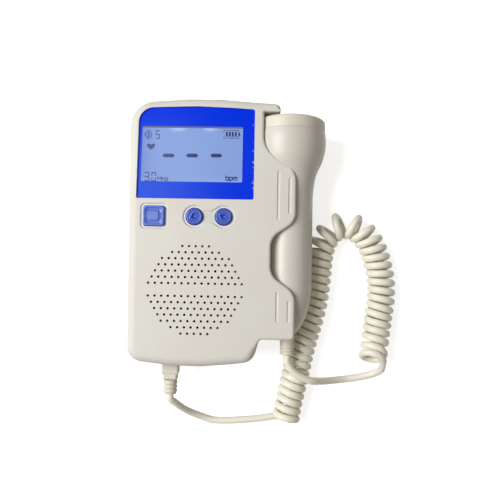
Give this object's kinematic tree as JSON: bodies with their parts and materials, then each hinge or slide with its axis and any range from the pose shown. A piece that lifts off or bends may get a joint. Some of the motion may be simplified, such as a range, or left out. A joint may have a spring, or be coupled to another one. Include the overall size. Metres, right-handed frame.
{
  "type": "fetal doppler",
  "caption": "Hand-held fetal heart doppler with a blue-framed display, keys and speaker grille, and a corded probe docked in its side cradle.",
  "frame": {"origin": "middle of the unit and its docked probe in plan, on the flat back that they lie on", "axes": "+Z out of the display, +Y towards the display's end of the unit, +X towards the docked probe"},
  "size_m": [0.1399, 0.171, 0.0384],
  "materials": {
    "casing_plastic": "satin, warm light grey",
    "cream_plastic": "satin, cream",
    "cord_jacket": "satin, cream",
    "window_print": "blue print behind a clear plate",
    "clear_plate": "clear, polished",
    "key_plastic": "satin, blue",
    "lcd_glass": "pale blue, lit from behind",
    "light_guide": "white",
    "board_laminate": "green",
    "black_plastic": "black",
    "cone_paper": "matte, dark",
    "magnet": "matte, dark",
    "steel": "bright",
    "battery_sleeve": "printed sleeve, left plain",
    "crystal_ceramic": "ceramic",
    "backing_absorber": "dark",
    "acoustic_plastic": "satin, cream"
  },
  "bodies": {
    "root": {"front_shell": "casing_plastic", "rear_shell": "casing_plastic", "display_window": "clear_plate", "window_mask": "window_print", "lcd_panel": "lcd_glass", "backlight": "light_guide", "main_board": "board_laminate", "power_switch": "black_plastic", "volume_up_switch": "black_plastic", "volume_down_switch": "black_plastic", "speaker_frame": "steel", "speaker_cone": "cone_paper", "speaker_magnet": "magnet", "socket_board": "board_laminate", "probe_socket": "black_plastic", "headphone_jack": "black_plastic", "battery_tray": "black_plastic", "battery_1": "battery_sleeve", "battery_2": "battery_sleeve", "battery_contact_plate": "steel", "battery_spring_1": "steel", "battery_spring_2": "steel", "shell_screw_1": "steel", "shell_screw_2": "steel", "shell_screw_3": "steel", "shell_screw_4": "steel", "cord_coil": "cord_jacket"},
    "power_key": {"power_key": "key_plastic"},
    "volume_up_key": {"volume_up_key": "key_plastic"},
    "volume_down_key": {"volume_down_key": "key_plastic"},
    "battery_door": {"battery_door": "casing_plastic"},
    "probe": {"probe_shell_front": "casing_plastic", "probe_shell_back": "casing_plastic", "probe_cap": "cream_plastic", "acoustic_window": "acoustic_plastic", "transmit_crystal": "crystal_ceramic", "receive_crystal": "crystal_ceramic", "backing_block": "backing_absorber", "probe_board": "board_laminate", "probe_strain_relief": "cream_plastic", "cord_probe_stretch": "cord_jacket"},
    "plug": {"plug_body": "cream_plastic", "plug_contacts": "steel", "plug_strain_relief": "cream_plastic", "cord_plug_stretch": "cord_jacket"}
  },
  "joints": [
    {"name": "power_key_press", "type": "slide", "parent": "root", "child": "power_key", "axis": [0, 0, -1], "range_m": [0, 0.0006], "stiffness_N_per_m": 1500},
    {"name": "volume_up_press", "type": "slide", "parent": "root", "child": "volume_up_key", "axis": [0, 0, -1], "range_m": [0, 0.0006], "stiffness_N_per_m": 1500},
    {"name": "volume_down_press", "type": "slide", "parent": "root", "child": "volume_down_key", "axis": [0, 0, -1], "range_m": [0, 0.0006], "stiffness_N_per_m": 1500},
    {"name": "battery_door_slide", "type": "slide", "parent": "root", "child": "battery_door", "axis": [0, -1, 0], "range_m": [0, 0.01]},
    {"name": "probe_lift", "type": "slide", "parent": "root", "child": "probe", "axis": [1, 0, 0], "range_m": [0, 0.04], "deforming": ["cord_coil"]},
    {"name": "plug_pull", "type": "slide", "parent": "root", "child": "plug", "axis": [0, -1, 0], "range_m": [0, 0.008]}
  ]
}
